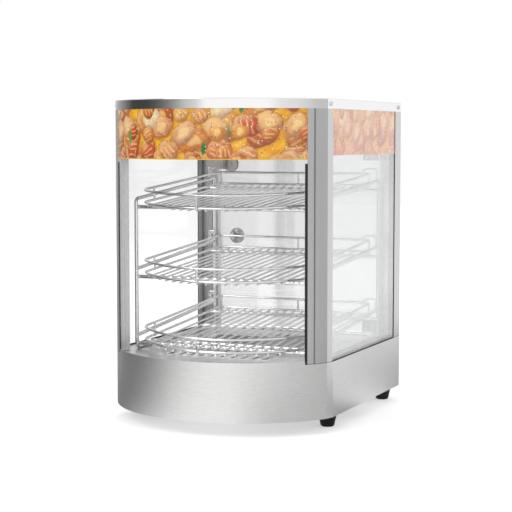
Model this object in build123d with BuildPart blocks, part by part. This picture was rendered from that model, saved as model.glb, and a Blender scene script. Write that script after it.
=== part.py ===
from build123d import *
import os
from math import asin, cos, degrees, radians, sin, sqrt, tan

# Heated display case with a bowed glass front, a tilted three-tier wire rack and a
# glass door at the back. Millimetres. +Z is up, +Y is the back, the origin is on the
# floor under the middle of the whole case.

# Body seen from above
width = 370.0
side_depth = 326.5
bow = 111.0
knob_reach = 20.5
corner_cut = 8.0
sheet = 1.2

# Heights above the floor
foot_height = 22.0
base_top = 107.5
lip_top = 113.0
film_front_low = 414.5
film_side_low = 420.5
cap_bottom = 490.5
cap_top = 505.5

# Front posts, the beads beside them and the glass
post_face = 22.3
post_side = 6.0
post_depth = 19.0
bead_width = 12.8
side_bead_width = 15.0
bead_gap = 0.5
bead_thickness = 1.5
side_bead_thickness = 1.0
glass = 4.0
front_gasket = 4.0
front_gasket_sink = 0.3
front_gasket_drop = 6.0
side_gasket = 2.0
side_gasket_depth = 0.8
film = 0.3

# Rear posts and header
rear_post_width = 32.0
rear_post_depth = 14.0
header_bottom = 434.5

# Door
door_glass_thickness = 5.0
door_setback = 1.5
door_gap_latch = 1.5
door_gap_hinge = 2.0
door_bottom = 113.0
door_top = 429.0
pivot_inset = 8.0
clamp_width = 28.0
clamp_height = 22.0
clamp_wall = 3.5
clamp_core = 10.5
hinge_pin = 6.0
pin_clearance = 0.05

# Wire rack
rack_rod = 6.0
rack_x = 155.0
rack_front_y = -106.0
rack_back_y = 183.0
rack_bend = 9.0
rack_foot_bend = 5.5
rail_front = (129.3, 237.0, 349.5)
rail_rise = 26.0
front_bar_drop = 13.0
rear_bar_drop = 18.0
weld = 0.3

# Basket shelves, measured flat, from the front bar that carries them
shelf_half_width = 142.0
shelf_back = 282.0
shelf_bulge = 67.0
shelf_tip = -1.0
shelf_corner = 9.0
shelf_front_corner = 24.0
rim_rod = 4.0
grid_rod = 3.0
grid_pitch = 15.5
grid_half_count = 8
guard_height = 20.0
rest_gap = 0.3

# Feet
foot_x = 162.0
foot_front_y = -73.0
foot_back_y = 187.0
foot_top_radius = 15.3
foot_bottom_radius = 9.8

# Worked out from the sizes above
length = bow + side_depth + knob_reach
front_y = bow - length / 2
back_y = front_y + side_depth
side_x = width / 2
bow_radius = (side_x ** 2 + bow ** 2) / (2 * bow)
bow_centre_y = front_y - bow + bow_radius
corner_angle = degrees(asin(side_x / bow_radius))
facet_angle = corner_angle - degrees(corner_cut / bow_radius)
post_angle = facet_angle - degrees(post_face / bow_radius)
bead_edge = post_angle - degrees(bead_gap / bow_radius)
bead_angle = bead_edge - degrees(bead_width / bow_radius)
gasket_angle = bead_angle - degrees(front_gasket / bow_radius)
front_glass_outer = bow_radius - bead_thickness
front_glass_inner = front_glass_outer - glass
side_glass_x = side_x - side_bead_thickness
side_glass_front = front_y + post_side
rear_post_front = back_y - rear_post_depth
rear_post_inner = side_x - rear_post_width
side_bead_front = rear_post_front - side_bead_width
case_inner_x = side_x - sheet

os.makedirs("parts", exist_ok=True)


def write(piece, name):
    """Label a finished piece and write its STEP file."""
    piece.part.label = name
    export_step(piece.part, f"parts/{name}.step")


def body_plan(inset=0.0):
    """Plan of the body: straight back and sides, bowed front, cut front corners."""
    cut_x, cut_y = on_bow(bow_radius, facet_angle)
    side_front = front_y + corner_cut
    with BuildLine() as outline:
        Polyline(
            (-cut_x, cut_y),
            (-side_x, side_front),
            (-side_x, back_y),
            (side_x, back_y),
            (side_x, side_front),
            (cut_x, cut_y),
        )
        ThreePointArc((cut_x, cut_y), (0, front_y - bow), (-cut_x, cut_y))
    make_face(outline.edges())
    if inset:
        offset(amount=-inset, kind=Kind.INTERSECTION)


def bow_sector(outer, inner, start, end):
    """Slice of a ring about the centre of the bow, between angles from straight ahead."""
    with BuildLine() as outline:
        far = CenterArc((0, bow_centre_y), outer, start - 90, end - start)
        near = CenterArc((0, bow_centre_y), inner, start - 90, end - start)
        Line(far @ 0, near @ 0)
        Line(far @ 1, near @ 1)
    make_face(outline.edges())


def on_bow(radius, angle):
    """Point at an angle from straight ahead, at a radius from the centre of the bow."""
    return (radius * sin(radians(angle)), bow_centre_y - radius * cos(radians(angle)))


def rod(start, end, diameter):
    """Straight round bar from one point to another."""
    run = Vector(*end) - Vector(*start)
    with BuildSketch(Plane(origin=start, z_dir=run)) as section:
        Circle(diameter / 2)
    extrude(section.sketch, amount=run.length)


def block(low, high, mode=Mode.ADD):
    """Rectangular block between two opposite corners."""
    size = Vector(*high) - Vector(*low)
    middle = (Vector(*high) + Vector(*low)) * 0.5
    with Locations(middle):
        Box(size.X, size.Y, size.Z, mode=mode)


# Base: one sheet wrapped round the front and sides, with a lip in front of the bottom
# of the bowed glass, and a return flange at each end that the rear panel screws to.
bottom_top = foot_height + sheet
deck_bottom = base_top - sheet
return_flange = 16.0
panel_screw_radius = 1.5
screw_clearance = 0.1
panel_screw_places = [(x, z) for x in (-174, 174) for z in (34, 96)]
panel_plane = Plane(origin=(0, back_y, 0), x_dir=(1, 0, 0), z_dir=(0, -1, 0))
with BuildPart() as base_wrap:
    with BuildSketch(Plane.XY.offset(foot_height)):
        body_plan()
    extrude(amount=base_top - foot_height)
    with BuildSketch(Plane.XY.offset(foot_height)):
        body_plan(sheet)
    extrude(amount=base_top - foot_height, mode=Mode.SUBTRACT)
    block(
        (-case_inner_x, back_y - 2 * sheet, foot_height),
        (case_inner_x, back_y + sheet, base_top),
        mode=Mode.SUBTRACT,
    )
    with BuildSketch(Plane.XY.offset(base_top)):
        bow_sector(bow_radius, bow_radius - sheet, -gasket_angle, gasket_angle)
    extrude(amount=lip_top - base_top)
    for side in (-1, 1):
        block(
            (side * (case_inner_x - return_flange / 2) - return_flange / 2,
             back_y - 2 * sheet, bottom_top),
            (side * (case_inner_x - return_flange / 2) + return_flange / 2,
             back_y - sheet, deck_bottom),
        )
    with BuildSketch(panel_plane.offset(sheet)):
        with Locations(*panel_screw_places):
            Circle(panel_screw_radius + screw_clearance)
    extrude(amount=sheet, mode=Mode.SUBTRACT)
write(base_wrap, "base_wrap")

# Bottom plate with its fixing flanges turned up inside the wrap and slots that let
# cool air in under the heater.
foot_places = [
    ("front_left", (-foot_x, foot_front_y)),
    ("front_right", (foot_x, foot_front_y)),
    ("rear_left", (-foot_x, foot_back_y)),
    ("rear_right", (foot_x, foot_back_y)),
]
foot_screw_radius = 2.0
bottom_flange = 12.0
with BuildPart() as base_bottom_plate:
    with BuildSketch(Plane.XY.offset(foot_height)):
        body_plan(sheet)
    extrude(amount=sheet)
    for side in (-1, 1):
        inner = side * (case_inner_x - sheet)
        outer = side * case_inner_x
        block(
            (min(inner, outer), front_y + 20, bottom_top),
            (max(inner, outer), back_y - 20, bottom_top + bottom_flange),
        )
    with BuildSketch(Plane.XY.offset(foot_height)):
        with GridLocations(24, 60, 7, 2):
            SlotOverall(36, 5, rotation=90)
        for _, place in foot_places:
            with Locations(place):
                Circle(foot_screw_radius + screw_clearance)
    extrude(amount=sheet, mode=Mode.SUBTRACT)
write(base_bottom_plate, "base_bottom_plate")

# Deck: the floor of the heated space, with the opening that the water tray hangs in
# and rows of slots for the warm air.
tray_open_x = 200.0
tray_open_y = 140.0
tray_y = 30.0
with BuildPart() as deck_plate:
    with BuildSketch(Plane.XY.offset(deck_bottom)):
        body_plan(sheet)
        with Locations((0, tray_y)):
            Rectangle(tray_open_x, tray_open_y, mode=Mode.SUBTRACT)
        for row_y in (-125.0, -75.0, 130.0):
            with Locations((0, row_y)):
                with GridLocations(18, 1, 10, 1):
                    SlotOverall(26, 4, rotation=90, mode=Mode.SUBTRACT)
    extrude(amount=sheet)
write(deck_plate, "deck_plate")

# Rubber feet, each with a recess for its screw, and the screws through the bottom plate.
foot_recess = 6.0
foot_recess_radius = 4.6
foot_hole_radius = foot_screw_radius + screw_clearance
foot_flare = 1.2
foot_flare_z = 3.0
foot_round_z = 0.9
foot_sole_inset = 2.0
for name, place in foot_places:
    with BuildPart() as foot:
        with BuildSketch(Plane.XZ.offset(-place[1])):
            with BuildLine():
                Polyline(
                    (place[0] + foot_hole_radius, foot_height),
                    (place[0] + foot_top_radius, foot_height),
                    (place[0] + foot_bottom_radius + foot_flare, foot_flare_z),
                )
                ThreePointArc(
                    (place[0] + foot_bottom_radius + foot_flare, foot_flare_z),
                    (place[0] + foot_bottom_radius + foot_flare / 6, foot_round_z),
                    (place[0] + foot_bottom_radius - foot_sole_inset, 0.0),
                )
                Polyline(
                    (place[0] + foot_bottom_radius - foot_sole_inset, 0.0),
                    (place[0] + foot_recess_radius, 0.0),
                    (place[0] + foot_recess_radius, foot_recess),
                    (place[0] + foot_hole_radius, foot_recess),
                    (place[0] + foot_hole_radius, foot_height),
                )
            make_face()
        revolve(axis=Axis((place[0], place[1], 0), (0, 0, 1)))
    write(foot, f"foot_{name}")

foot_screw_length = 24.0
foot_screw_head = 2.5
foot_screw_head_radius = 3.8
foot_nut = 3.2
with BuildPart() as foot_screws:
    for _, place in foot_places:
        with BuildSketch(Plane.XY.offset(foot_recess - foot_screw_head)):
            with Locations(place):
                Circle(foot_screw_head_radius)
        extrude(amount=foot_screw_head)
        with BuildSketch(Plane.XY.offset(foot_recess)):
            with Locations(place):
                Circle(foot_screw_radius)
        extrude(amount=foot_screw_length)
        with BuildSketch(Plane.XY.offset(bottom_top)):
            with Locations(place):
                RegularPolygon(foot_screw_head_radius, 6)
        extrude(amount=foot_nut)
write(foot_screws, "foot_screws")

# Heater: a bent tube on two rests, over a shield that keeps its heat off the bottom.
shield_top = 50.0
shield_sheet = 0.8
shield_x = 105.0
shield_front = -75.0
shield_back = 130.0
shield_foot = 14.0
heater_tube = 6.4
heater_z = 64.0
with BuildPart() as heat_shield:
    block((-shield_x, shield_front, shield_top - shield_sheet), (shield_x, shield_back, shield_top))
    for side in (-1, 1):
        leg = side * shield_x
        leg_in = side * (shield_x - shield_sheet)
        foot_in = side * (shield_x - shield_foot)
        block(
            (min(leg, leg_in), shield_front, bottom_top),
            (max(leg, leg_in), shield_back, shield_top),
        )
        block(
            (min(leg, foot_in), shield_front, bottom_top),
            (max(leg, foot_in), shield_back, bottom_top + shield_sheet),
        )
write(heat_shield, "heat_shield")

rest_top = heater_z - heater_tube / 2
rest_half_x = 95.0
rest_half_y = 6.0
rest_sheet = 1.0
with BuildPart() as heater_rests:
    for rest_y in (-20.0, 80.0):
        block(
            (-rest_half_x, rest_y - rest_half_y, shield_top),
            (rest_half_x, rest_y + rest_half_y, rest_top),
        )
        block(
            (-rest_half_x - 1, rest_y - rest_half_y + rest_sheet, shield_top),
            (rest_half_x + 1, rest_y + rest_half_y - rest_sheet, rest_top - rest_sheet),
            mode=Mode.SUBTRACT,
        )
write(heater_rests, "heater_rests")

heater_outer_x = 75.0
heater_inner_x = 25.0
heater_front_y = -50.0
heater_turn_y = 115.0
heater_end_y = 150.0
heater_bend = 24.0
heater_pin = 12.0
heater_pin_diameter = 3.0
with BuildPart() as heater_element:
    with BuildLine() as heater_path:
        FilletPolyline(
            (-heater_outer_x, heater_end_y, heater_z),
            (-heater_outer_x, heater_front_y, heater_z),
            (-heater_inner_x, heater_front_y, heater_z),
            (-heater_inner_x, heater_turn_y, heater_z),
            (heater_inner_x, heater_turn_y, heater_z),
            (heater_inner_x, heater_front_y, heater_z),
            (heater_outer_x, heater_front_y, heater_z),
            (heater_outer_x, heater_end_y, heater_z),
            radius=heater_bend,
        )
    with BuildSketch(Plane(origin=heater_path.line @ 0, z_dir=heater_path.line % 0)):
        Circle(heater_tube / 2)
    sweep()
    for end_x in (-heater_outer_x, heater_outer_x):
        rod(
            (end_x, heater_end_y, heater_z),
            (end_x, heater_end_y + heater_pin, heater_z),
            heater_pin_diameter,
        )
write(heater_element, "heater_element")

# Water tray that keeps the food moist; it hangs by its rim and lifts out.
tray_clear = 1.0
tray_rim = 8.0
tray_sheet = 1.0
tray_floor = 80.0
tray_corner = 12.0
with BuildPart() as water_tray:
    with BuildSketch(Plane.XY.offset(base_top)):
        with Locations((0, tray_y)):
            RectangleRounded(tray_open_x + 2 * tray_rim, tray_open_y + 2 * tray_rim, tray_corner)
    extrude(amount=tray_sheet)
    with BuildSketch(Plane.XY.offset(tray_floor)):
        with Locations((0, tray_y)):
            RectangleRounded(tray_open_x - 2 * tray_clear, tray_open_y - 2 * tray_clear, tray_corner)
    extrude(amount=base_top - tray_floor)
    with BuildSketch(Plane.XY.offset(tray_floor + tray_sheet)):
        with Locations((0, tray_y)):
            RectangleRounded(
                tray_open_x - 2 * tray_clear - 2 * tray_sheet,
                tray_open_y - 2 * tray_clear - 2 * tray_sheet,
                tray_corner - tray_sheet,
            )
    extrude(amount=base_top - tray_floor, mode=Mode.SUBTRACT)
write(water_tray, "water_tray")

# Control panel: closes the back of the base and carries the controls and the inlet.
panel_face = back_y
panel_back = back_y - sheet
control_z = 64.0
knob_x = 110.0
power_x = 40.0
lamp_switch_x = 0.0
pilot_x = -32.0
inlet_x = -115.0
shaft_radius = 3.0
switch_cut_x = 19.4
switch_cut_z = 27.4
pilot_radius = 5.0
inlet_flange = 3.0
inlet_cut_x = 27.4
inlet_cut_z = 20.4
inlet_screw_span = 40.0
inlet_screw_places = [(inlet_x + s * inlet_screw_span / 2, control_z) for s in (-1, 1)]
with BuildPart() as control_panel:
    block((-case_inner_x, panel_back, foot_height), (case_inner_x, panel_face, base_top))
    with BuildSketch(panel_plane):
        with Locations((knob_x, control_z)):
            Circle(shaft_radius + 0.6)
        with Locations((power_x, control_z), (lamp_switch_x, control_z)):
            Rectangle(switch_cut_x, switch_cut_z)
        with Locations((pilot_x, control_z)):
            Circle(pilot_radius + 0.1)
        with Locations((inlet_x, control_z)):
            Rectangle(inlet_cut_x, inlet_cut_z)
        with Locations(*panel_screw_places, *inlet_screw_places):
            Circle(panel_screw_radius + screw_clearance)
    extrude(amount=sheet, mode=Mode.SUBTRACT)
write(control_panel, "control_panel")

panel_head_radius = 2.9
panel_head = 1.8
panel_screw_reach = 7.0
with BuildPart() as panel_screws:
    for x, z in panel_screw_places + inlet_screw_places:
        seat = inlet_flange if (x, z) in inlet_screw_places else 0.0
        head_plane = Plane(origin=(x, panel_face + seat, z), z_dir=(0, 1, 0))
        with BuildSketch(head_plane):
            Circle(panel_head_radius)
        extrude(amount=panel_head)
        rod(
            (x, panel_face + seat, z),
            (x, panel_face - panel_screw_reach, z),
            2 * panel_screw_radius,
        )
write(panel_screws, "panel_screws")

# Thermostat behind the panel, its shaft and its knob.
thermostat_half = 17.0
thermostat_depth = 24.0
tag_length = 8.0
tag_half_width = 3.0
tag_half_thickness = 0.4
shaft_end = panel_face + 15.0
with BuildPart() as thermostat_body:
    block(
        (knob_x - thermostat_half, panel_back - thermostat_depth, control_z - thermostat_half),
        (knob_x + thermostat_half, panel_back, control_z + thermostat_half),
    )
    fillet(thermostat_body.edges().filter_by(Axis.Y), 3)
    rod((knob_x, panel_back - 1, control_z), (knob_x, shaft_end, control_z), 2 * shaft_radius)
    tag_root = panel_back - thermostat_depth
    for tag_x in (knob_x - thermostat_half / 2, knob_x + thermostat_half / 2):
        block(
            (tag_x - tag_half_width, tag_root - tag_length, control_z - tag_half_thickness),
            (tag_x + tag_half_width, tag_root, control_z + tag_half_thickness),
        )
write(thermostat_body, "thermostat_body")

knob_gap = 1.0
knob_skirt = 4.0
knob_skirt_radius = 21.0
knob_grip_radius = 15.5
knob_top = panel_face + 18.5
knob_taper = 4.0
knob_round = 1.2
knob_plane = Plane(origin=(knob_x, panel_face + knob_gap, control_z), z_dir=(0, 1, 0))
with BuildPart() as thermostat_knob:
    with BuildSketch(knob_plane):
        Circle(knob_skirt_radius)
    extrude(amount=knob_skirt)
    with BuildSketch(knob_plane.offset(knob_skirt)):
        Circle(knob_grip_radius)
    extrude(amount=knob_top - panel_face - knob_gap - knob_skirt, taper=knob_taper)
    fillet(thermostat_knob.faces().sort_by(Axis.Y)[-1].edges(), knob_round)
    with BuildSketch(knob_plane):
        Circle(shaft_radius + pin_clearance)
    extrude(amount=shaft_end - panel_face - knob_gap + 0.3, mode=Mode.SUBTRACT)
write(thermostat_knob, "thermostat_knob")

# Rocker switches: a housing clipped in the panel, and a rocker that tips on its pivot.
# The rocker is drawn switched off, with its lower half pressed in.
bezel_x = 24.0
bezel_z = 33.0
bezel_depth = 2.4
switch_depth = 24.0
rocker_radius = 11.5
rocker_half_x = 7.5
rocker_face = 3.0
rocker_tip = 10.0
rocker_gap = 0.4
rocker_pin_radius = 1.5
rocker_pin_length = 1.5
rocker_back = 6.0
rocker_side_gap = 0.3
rocker_pocket = 11.0
switch_tag_half_width = 2.4
far = 20.0
pivot_y = panel_face + bezel_depth - 2.5
for name, centre_x in (("power_switch", power_x), ("lamp_switch", lamp_switch_x)):
    pocket_half_x = rocker_half_x + rocker_side_gap
    pocket_half_z = rocker_radius + rocker_gap
    with BuildPart() as housing:
        block(
            (centre_x - bezel_x / 2, panel_face, control_z - bezel_z / 2),
            (centre_x + bezel_x / 2, panel_face + bezel_depth, control_z + bezel_z / 2),
        )
        fillet(housing.edges().filter_by(Axis.Y), 2)
        half_x = switch_cut_x / 2 - 0.2
        half_z = switch_cut_z / 2 - 0.2
        block(
            (centre_x - half_x, panel_face - switch_depth, control_z - half_z),
            (centre_x + half_x, panel_face, control_z + half_z),
        )
        block(
            (centre_x - pocket_half_x, pivot_y - rocker_pocket, control_z - pocket_half_z),
            (centre_x + pocket_half_x, panel_face + bezel_depth, control_z + pocket_half_z),
            mode=Mode.SUBTRACT,
        )
        for side in (-1, 1):
            wall = centre_x + side * pocket_half_x
            rod(
                (wall, pivot_y, control_z),
                (wall - side * rocker_pin_length, pivot_y, control_z),
                2 * rocker_pin_radius,
            )
        tag_root = panel_face - switch_depth
        for tag_z in (control_z - 7, control_z, control_z + 7):
            block(
                (centre_x - switch_tag_half_width, tag_root - tag_length, tag_z - tag_half_thickness),
                (centre_x + switch_tag_half_width, tag_root, tag_z + tag_half_thickness),
            )
    write(housing, f"{name}_body")

    notch_rise = far * tan(radians(rocker_tip))
    with BuildPart() as rocker:
        rocker_plane = Plane(
            origin=(centre_x - rocker_half_x, pivot_y, control_z), x_dir=(0, 1, 0), z_dir=(1, 0, 0)
        )
        with BuildSketch(rocker_plane):
            Circle(rocker_radius)
            Polygon(
                (rocker_face, 0),
                (rocker_face + notch_rise, far),
                (2 * far, far),
                (2 * far, -far),
                (rocker_face + notch_rise, -far),
                rotation=-rocker_tip,
                align=None,
                mode=Mode.SUBTRACT,
            )
            Polygon(
                (-rocker_back, -far),
                (-rocker_back, far),
                (-2 * far, far),
                (-2 * far, -far),
                rotation=-rocker_tip,
                align=None,
                mode=Mode.SUBTRACT,
            )
            Circle(rocker_pin_radius + pin_clearance, mode=Mode.SUBTRACT)
        extrude(amount=2 * rocker_half_x)
    write(rocker, f"{name}_rocker")

# Pilot lamp: a clear dome with its holder behind the panel.
with BuildPart() as pilot_lamp:
    pilot_plane = Plane(origin=(pilot_x, panel_face, control_z), z_dir=(0, 1, 0))
    with BuildSketch(pilot_plane.offset(-20)):
        Circle(pilot_radius)
    extrude(amount=20)
    with BuildSketch(pilot_plane):
        Circle(pilot_radius + 1.6)
    extrude(amount=2)
    with BuildSketch(pilot_plane.offset(2)):
        Circle(pilot_radius - 0.4)
    extrude(amount=4)
    fillet(pilot_lamp.faces().sort_by(Axis.Y)[-1].edges(), 3.2)
write(pilot_lamp, "pilot_lamp")

# Power inlet: a flush socket with three flat pins, held by two screws.
inlet_flange_x = 50.0
inlet_flange_z = 24.0
inlet_body_depth = 24.0
inlet_well_x = 24.4
inlet_well_z = 16.6
inlet_well_depth = 17.0
with BuildPart() as power_inlet:
    with BuildSketch(Plane(origin=(0, panel_face, 0), x_dir=(-1, 0, 0), z_dir=(0, 1, 0))):
        with Locations((-inlet_x, control_z)):
            RectangleRounded(inlet_flange_x, inlet_flange_z, 6)
        with Locations(*[(-x, z) for x, z in inlet_screw_places]):
            Circle(panel_screw_radius + 0.1, mode=Mode.SUBTRACT)
    extrude(amount=inlet_flange)
    block(
        (inlet_x - inlet_cut_x / 2 + 0.2, panel_face - inlet_body_depth,
         control_z - inlet_cut_z / 2 + 0.2),
        (inlet_x + inlet_cut_x / 2 - 0.2, panel_face, control_z + inlet_cut_z / 2 - 0.2),
    )
    with BuildSketch(Plane(origin=(0, panel_face + inlet_flange, 0), x_dir=(-1, 0, 0), z_dir=(0, 1, 0))):
        with Locations((-inlet_x, control_z)):
            well = Rectangle(inlet_well_x, inlet_well_z)
        chamfer(well.vertices().group_by(Axis.Z)[-1], 4)
    extrude(amount=-inlet_well_depth, mode=Mode.SUBTRACT)
write(power_inlet, "power_inlet")

well_floor = panel_face + inlet_flange - inlet_well_depth
pin_length = 13.0
pin_half_width = 2.0
pin_half_thickness = 1.0
pin_places = ((-7.0, -2.5), (0.0, 1.8), (7.0, -2.5))
with BuildPart() as inlet_pins:
    for x, z in [(inlet_x + pin_x, control_z + pin_z) for pin_x, pin_z in pin_places]:
        block(
            (x - pin_half_thickness, well_floor, z - pin_half_width),
            (x + pin_half_thickness, well_floor + pin_length, z + pin_half_width),
        )
write(inlet_pins, "inlet_pins")

# Terminal block on the bottom plate, beside the inlet.
terminal_x = -142.0
terminal_width = 16.0
terminal_height = 14.0
terminal_front = 120.0
terminal_pitch = 12.5
terminal_count = 4
terminal_hole_radius = 1.6
terminal_bore_radius = 3.0
terminal_bore = 2.5
terminal_hole = 9.0
terminal_top = bottom_top + terminal_height
with BuildPart() as terminal_block:
    block(
        (terminal_x - terminal_width / 2, terminal_front, bottom_top),
        (
            terminal_x + terminal_width / 2,
            terminal_front + terminal_count * terminal_pitch,
            terminal_top,
        ),
    )
    for count in range(terminal_count):
        with Locations((terminal_x, terminal_front + (count + 0.5) * terminal_pitch, terminal_top)):
            CounterBoreHole(
                terminal_hole_radius, terminal_bore_radius, terminal_bore, depth=terminal_hole
            )
write(terminal_block, "terminal_block")


def corner_bar(skin, core, trim):
    """Upright bar round the front right corner, between two depths under the skin."""
    edge_angle = post_angle + degrees(trim / bow_radius)
    edge_in = on_bow(bow_radius - 40, edge_angle)
    edge_out = on_bow(bow_radius + 60, edge_angle)
    edge_back = side_glass_front - trim
    with BuildPart() as bar:
        with BuildSketch(Plane.XY.offset(base_top)):
            body_plan(skin)
        extrude(amount=cap_bottom - base_top)
        with BuildSketch(Plane.XY.offset(base_top)):
            body_plan(core)
        extrude(amount=cap_bottom - base_top, mode=Mode.SUBTRACT)
        with BuildSketch(Plane.XY.offset(base_top)):
            with BuildLine():
                Polyline(
                    edge_in,
                    edge_out,
                    (width, edge_out[1]),
                    (width, edge_back),
                    (edge_in[0], edge_back),
                    close=True,
                )
            make_face()
        extrude(amount=cap_bottom - base_top, mode=Mode.INTERSECT)
    return bar


# Front posts: folded sheet tubes that follow the cut front corners.
post_shell = corner_bar(0, post_depth, 0)
post_void = corner_bar(sheet, post_depth - sheet, sheet)
with BuildPart() as front_right_post:
    add(post_shell.part)
    add(post_void.part, mode=Mode.SUBTRACT)
write(front_right_post, "front_right_post")

with BuildPart() as front_left_post:
    mirror(front_right_post.part, about=Plane.YZ)
write(front_left_post, "front_left_post")

# Rear posts: square tubes between the side glass and the door. The right one has the
# holes of the hinge brackets.
bracket_screw_x = 160.0
bracket_screw_z = (122.0, 419.5)
bracket_screw_radius = 1.5
bracket_hole_radius = 1.6
for side, name in ((-1, "rear_left_post"), (1, "rear_right_post")):
    with BuildPart() as rear_post:
        with BuildSketch(Plane.XY.offset(base_top)):
            with Locations((side * (rear_post_inner + side_x) / 2, (rear_post_front + back_y) / 2)):
                Rectangle(rear_post_width, rear_post_depth)
                Rectangle(
                    rear_post_width - 2 * sheet, rear_post_depth - 2 * sheet, mode=Mode.SUBTRACT
                )
        extrude(amount=cap_bottom - base_top)
        if side > 0:
            with Locations(*[(bracket_screw_x, rear_post_front, z) for z in bracket_screw_z]):
                Cylinder(bracket_hole_radius, 4 * sheet, rotation=(90, 0, 0), mode=Mode.SUBTRACT)
    write(rear_post, name)

# Rear header: a folded channel above the door.
with BuildPart() as rear_header:
    block(
        (-rear_post_inner, rear_post_front, header_bottom), (rear_post_inner, back_y, cap_bottom)
    )
    block(
        (-rear_post_inner + sheet, rear_post_front + sheet, header_bottom + sheet),
        (rear_post_inner - sheet, back_y - sheet, cap_bottom),
        mode=Mode.SUBTRACT,
    )
write(rear_header, "rear_header")

# Bowed front glass, standing on the deck between the posts, and the flat side panes.
with BuildPart() as front_glass:
    glass_angle = post_angle - 0.3
    with BuildSketch(Plane.XY.offset(base_top)):
        bow_sector(front_glass_outer, front_glass_inner, -glass_angle, glass_angle)
    extrude(amount=cap_bottom - base_top)
write(front_glass, "front_glass")

for side, name in ((-1, "left_glass"), (1, "right_glass")):
    near = side * (side_glass_x - glass)
    far = side * side_glass_x
    with BuildPart() as side_pane:
        block(
            (min(near, far), side_glass_front, base_top),
            (max(near, far), rear_post_front, cap_bottom),
        )
    write(side_pane, name)

# Beads: the strips that cover the upright edges of the panes.
with BuildPart() as glass_beads:
    for side in (-1, 1):
        with BuildSketch(Plane.XY.offset(base_top)):
            bow_sector(bow_radius, front_glass_outer, side * bead_angle, side * bead_edge)
        extrude(amount=cap_bottom - base_top)
        near = side * side_glass_x
        far = side * side_x
        block(
            (min(near, far), side_bead_front, base_top),
            (max(near, far), rear_post_front, cap_bottom),
        )
write(glass_beads, "glass_beads")

# Rubber gaskets: beside the beads of the bowed glass, up to just under its film, and
# along the back and the bottom of the side panes.
with BuildPart() as glass_gaskets:
    for side in (-1, 1):
        with BuildSketch(Plane.XY.offset(base_top)):
            bow_sector(
                bow_radius - front_gasket_sink,
                front_glass_outer,
                side * gasket_angle,
                side * bead_angle,
            )
        extrude(amount=film_front_low - front_gasket_drop - base_top)
        near = side * side_glass_x
        far = side * (side_glass_x + side_gasket_depth)
        low_x, high_x = min(near, far), max(near, far)
        block(
            (low_x, side_bead_front - side_gasket, base_top), (high_x, side_bead_front, cap_bottom)
        )
        block(
            (low_x, side_glass_front, base_top),
            (high_x, side_bead_front - side_gasket, base_top + side_gasket),
        )
write(glass_gaskets, "glass_gaskets")

# Printed films stuck to the outside of the panes, under the cap.
with BuildPart() as front_film:
    with BuildSketch(Plane.XY.offset(film_front_low)):
        bow_sector(front_glass_outer + film, front_glass_outer, -bead_angle, bead_angle)
    extrude(amount=cap_bottom - film_front_low)
write(front_film, "front_film")

with BuildPart() as side_films:
    for side in (-1, 1):
        near = side * side_glass_x
        far = side * (side_glass_x + film)
        block(
            (min(near, far), side_glass_front, film_side_low),
            (max(near, far), side_bead_front - side_gasket, cap_bottom),
        )
write(side_films, "side_films")

# Ceiling pan and the cap over it, held by four screws through their rims.
pan_top = 502.0
cap_screw_z = 498.0
cap_screw_radius = 1.5
cap_hole_radius = 1.6
rear_screw_y = 194.5
facet_x, facet_y = on_bow(bow_radius, facet_angle)
facet_run = side_x - facet_x
facet_rise = front_y + corner_cut - facet_y
cap_screw_planes = []
for side in (-1, 1):
    middle = (side * (facet_x + facet_run / 2), facet_y + facet_rise / 2, cap_screw_z)
    out = (side * facet_rise, -facet_run, 0)
    cap_screw_planes.append(Plane(origin=middle, z_dir=out))
    cap_screw_planes.append(
        Plane(origin=(side * side_x, rear_screw_y, cap_screw_z), z_dir=(side, 0, 0))
    )

with BuildPart() as ceiling_pan:
    with BuildSketch(Plane.XY.offset(cap_bottom)):
        body_plan(sheet)
    extrude(amount=pan_top - cap_bottom)
    with BuildSketch(Plane.XY.offset(cap_bottom + sheet)):
        body_plan(2 * sheet)
    extrude(amount=pan_top - cap_bottom, mode=Mode.SUBTRACT)
    for plane in cap_screw_planes:
        with BuildSketch(plane):
            Circle(cap_hole_radius)
        extrude(amount=-4 * sheet, mode=Mode.SUBTRACT)
write(ceiling_pan, "ceiling_pan")

with BuildPart() as top_cap:
    with BuildSketch(Plane.XY.offset(cap_bottom)):
        body_plan()
    extrude(amount=cap_top - cap_bottom)
    fillet(top_cap.faces().sort_by(Axis.Z)[-1].edges(), 1.0)
    with BuildSketch(Plane.XY.offset(cap_bottom)):
        body_plan(sheet)
    extrude(amount=cap_top - cap_bottom - sheet, mode=Mode.SUBTRACT)
    for plane in cap_screw_planes:
        with BuildSketch(plane.offset(1)):
            Circle(cap_hole_radius)
        extrude(amount=-3 * sheet, mode=Mode.SUBTRACT)
write(top_cap, "top_cap")

cap_head_radius = 3.6
cap_head = 2.0
with BuildPart() as cap_screws:
    for plane in cap_screw_planes:
        with BuildSketch(plane.offset(0.02)):
            Circle(cap_head_radius)
        extrude(amount=cap_head)
        with BuildSketch(plane.offset(0.02)):
            Circle(cap_screw_radius)
        extrude(amount=-7)
write(cap_screws, "cap_screws")

# Lamp under the ceiling, behind the printed film.
lamp_y = -55.0
lamp_z = 466.0
lamp_radius = 8.0
lamp_half = 95.0
holder = 14.0
holder_half = 12.0
holder_grip = 6.0
with BuildPart() as lamp_tube:
    rod((-lamp_half, lamp_y, lamp_z), (lamp_half, lamp_y, lamp_z), 2 * lamp_radius)
    fillet(lamp_tube.edges(), 1.5)
write(lamp_tube, "lamp_tube")

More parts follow.
